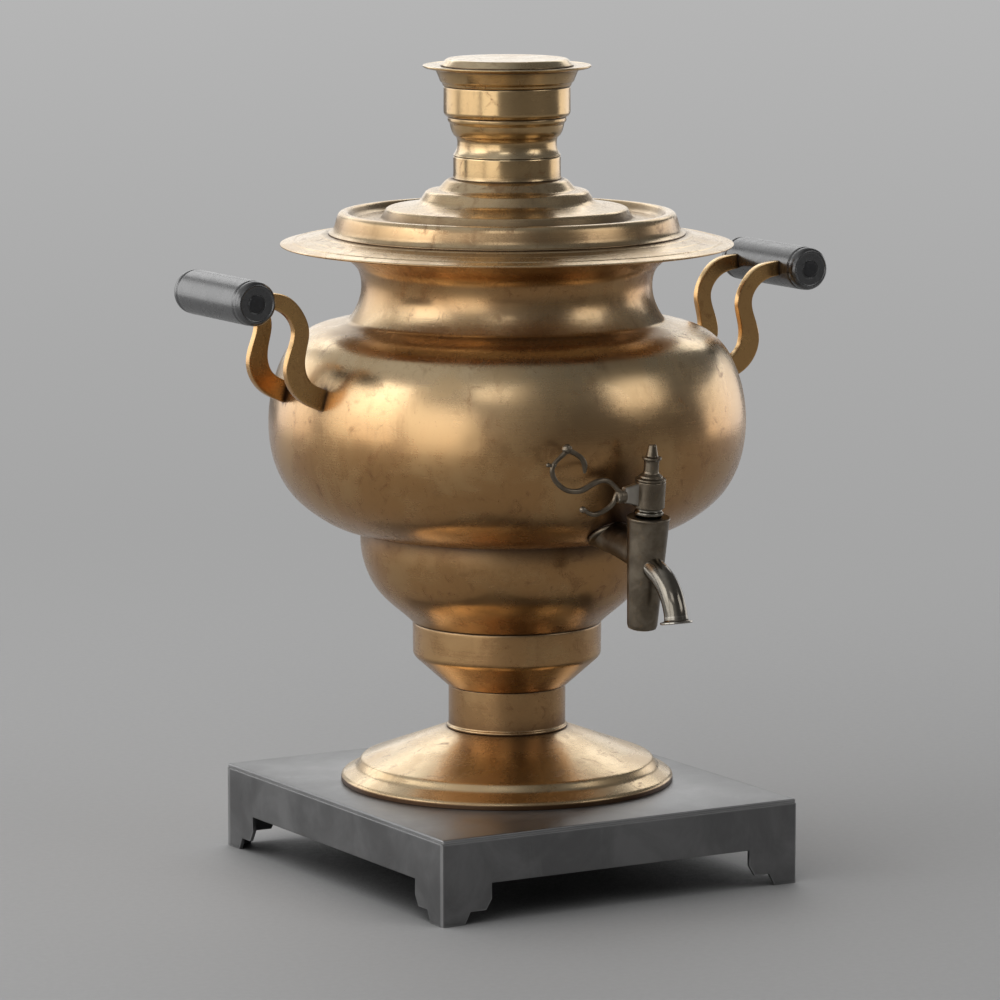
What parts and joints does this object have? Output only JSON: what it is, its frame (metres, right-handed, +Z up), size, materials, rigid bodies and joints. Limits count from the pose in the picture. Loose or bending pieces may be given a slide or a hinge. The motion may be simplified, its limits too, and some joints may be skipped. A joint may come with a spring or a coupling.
{
  "type": "samovar on a stand",
  "caption": "Round-bellied brass urn with a central fire tube, a lever tap, side grips, a lid, a teapot crown and a flue cap, standing on a low sheet-steel stand.",
  "frame": {"origin": "foot of the samovar's axis, on the plane that the stand's feet touch", "axes": "+Z up along the samovar's axis, the tap points along -Y, the handles lie along +X and -X"},
  "size_m": [0.4192, 0.356, 0.5018],
  "materials": {
    "aged_brass": "aged, satin, with darker tarnish",
    "tinned_brass": "tinned inside, dull",
    "handle_brass": "satin",
    "aged_nickel": "worn nickel plate, satin",
    "polished_nickel": "polished nickel plate",
    "black_wood": "black lacquer, satin",
    "steel": "plain",
    "stand_steel": "dark grey satin",
    "grate_iron": "rough, sooty",
    "gasket_leather": "matt"
  },
  "bodies": {
    "stand": {"stand_top": "stand_steel", "stand_apron_front": "stand_steel", "stand_apron_back": "stand_steel", "stand_apron_left": "stand_steel", "stand_apron_right": "stand_steel", "stand_corner_brackets": "stand_steel"},
    "samovar": {"pedestal_foot": "aged_brass", "pedestal_neck": "aged_brass", "pedestal_collar": "aged_brass", "lower_bowl": "aged_brass", "vessel_floor": "tinned_brass", "belly_lower": "aged_brass", "belly_upper": "aged_brass", "throat_ring": "aged_brass", "brim_ring": "aged_brass", "fire_pot": "tinned_brass", "flue_pipe": "tinned_brass", "grate": "grate_iron", "tap_gasket": "gasket_leather", "tap_rosette": "aged_nickel", "tap_shank": "aged_nickel", "tap_washer": "aged_brass", "tap_lock_nut": "aged_nickel", "tap_barrel": "aged_nickel", "tap_spout": "polished_nickel", "handle_bar_left_front": "handle_brass", "handle_bar_left_rear": "handle_brass", "handle_bar_right_front": "handle_brass", "handle_bar_right_rear": "handle_brass", "grip_left": "black_wood", "grip_right": "black_wood", "grip_rod_left": "steel", "grip_rod_right": "steel", "grip_cap_nuts": "steel", "handle_strap_left": "steel", "handle_strap_right": "steel", "handle_nuts": "steel"},
    "lid": {"lid_rim": "aged_brass", "lid_dome": "aged_brass", "lid_crest": "aged_brass", "lid_skirt": "aged_brass", "lid_collar": "aged_brass"},
    "crown": {"crown_neck": "aged_brass", "crown_band": "aged_brass", "crown_cove": "aged_brass", "crown_plate": "aged_brass"},
    "cap": {"cap_cover": "aged_brass", "cap_skirt": "aged_brass"},
    "tap_key": {"key_plug": "aged_nickel", "key_hub": "aged_nickel", "key_scroll": "aged_nickel", "key_finial": "polished_nickel"}
  },
  "joints": [
    {"name": "samovar_lift", "type": "slide", "parent": "stand", "child": "samovar", "axis": [0, 0, 1], "range_m": [0, 0.15]},
    {"name": "lid_lift", "type": "slide", "parent": "samovar", "child": "lid", "axis": [0, 0, 1], "range_m": [0, 0.12]},
    {"name": "crown_lift", "type": "slide", "parent": "lid", "child": "crown", "axis": [0, 0, 1], "range_m": [0, 0.1]},
    {"name": "cap_lift", "type": "slide", "parent": "crown", "child": "cap", "axis": [0, 0, 1], "range_m": [0, 0.08]},
    {"name": "key_turn", "type": "hinge", "parent": "samovar", "child": "tap_key", "pos_m": [0, -0.16423, 0.21507], "axis": [0, -0.1, 0.995], "range_deg": [-20, 200]}
  ]
}
